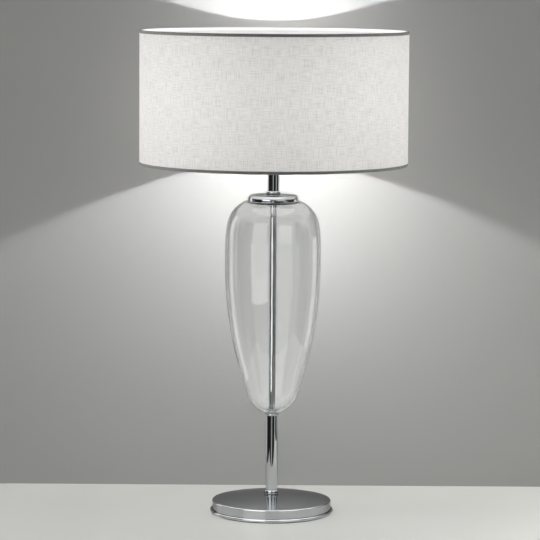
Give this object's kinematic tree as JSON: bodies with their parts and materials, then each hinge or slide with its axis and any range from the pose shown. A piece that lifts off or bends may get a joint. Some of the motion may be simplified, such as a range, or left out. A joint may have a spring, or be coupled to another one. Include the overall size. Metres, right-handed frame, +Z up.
{
  "type": "table lamp",
  "caption": "Table lamp with a white drum shade, a chrome stem, a clear blown-glass body and a domed round chrome base; the shade turns and the bulb unscrews.",
  "frame": {"origin": "centre of the base on the surface that the lamp stands on", "axes": "+Z up along the stem, -Y towards the front, +Y towards the cord inlet at the rear"},
  "size_m": [0.3999, 0.4, 0.724],
  "materials": {
    "chrome": "polished chrome plate",
    "felt": "pressed felt",
    "iron": "as cast",
    "zinc_steel": "zinc plated",
    "black_rubber": "moulded",
    "silicone": "moulded, translucent",
    "clear_glass": "blown, clear",
    "white_nylon": "moulded",
    "brass": "turned",
    "nickel": "nickel plated brass",
    "steatite": "fired, unglazed",
    "black_phenolic": "moulded",
    "brown_wire": "extruded insulation",
    "blue_wire": "extruded insulation",
    "frosted_glass": "frosted",
    "bulb_aluminium": "rolled thread",
    "black_glass": "fused",
    "tungsten": "drawn wire",
    "white_wire": "white powder coat on welded wire",
    "rim_tape": "woven tape",
    "white_linen": "slubby linen weave",
    "white_liner": "smooth sheet"
  },
  "bodies": {
    "stand": {"base_plate": "chrome", "base_cover": "chrome", "base_collar": "chrome", "lower_stem": "chrome", "glass_seat": "chrome", "glass_locator": "chrome", "top_cap": "chrome", "cap_collar": "chrome", "upper_stem": "chrome", "tie_rod": "chrome", "base_felt": "felt", "base_weight": "iron", "plate_screws": "zinc_steel", "pan_screws": "zinc_steel", "base_nut": "zinc_steel", "base_washer": "zinc_steel", "holder_lock_screw": "zinc_steel", "contact_spring": "zinc_steel", "cord_grommet": "black_rubber", "lower_gasket": "silicone", "upper_gasket": "silicone", "glass_body": "clear_glass", "terminal_block": "white_nylon", "cord_clamp": "white_nylon", "terminal_barrels": "brass", "holder_barrels": "brass", "live_strip": "brass", "screw_shell": "nickel", "holder_insert": "steatite", "holder_cap": "black_phenolic", "holder_sleeve": "black_phenolic", "wire_live": "brown_wire", "wire_neutral": "blue_wire"},
    "shade": {"shade_carrier": "white_wire", "bottom_ring": "white_wire", "top_ring": "white_wire", "bottom_tape": "rim_tape", "top_tape": "rim_tape", "shade_fabric": "white_linen", "shade_liner": "white_liner"},
    "ring_nut": {"shade_nut": "black_phenolic"},
    "contact": {"centre_contact": "brass"},
    "bulb": {"bulb_envelope": "frosted_glass", "bulb_cap": "bulb_aluminium", "bulb_insulator": "black_glass", "bulb_tip_contact": "brass", "bulb_mount": "clear_glass", "bulb_filament": "tungsten"}
  },
  "joints": [
    {"name": "shade_turn", "type": "hinge", "parent": "stand", "child": "shade", "pos_m": [0, 0, 0.5532], "axis": [0, 0, 1], "continuous": true},
    {"name": "ring_nut_turn", "type": "hinge", "parent": "stand", "child": "ring_nut", "pos_m": [0, 0, 0.5582], "axis": [0, 0, 1], "continuous": true},
    {"name": "contact_slide", "type": "slide", "parent": "stand", "child": "contact", "axis": [0, 0, 1], "range_m": [0, 0.00181], "deforming": ["contact_spring"]},
    {"name": "bulb_turn", "type": "hinge", "parent": "contact", "child": "bulb", "pos_m": [0, 0, 0.5472], "axis": [0, 0, 1], "range_deg": [0, 180]}
  ],
  "couplings": [
    {"joint": "bulb_turn", "follows": "contact_slide", "rad_per_m": 1731.6}
  ]
}
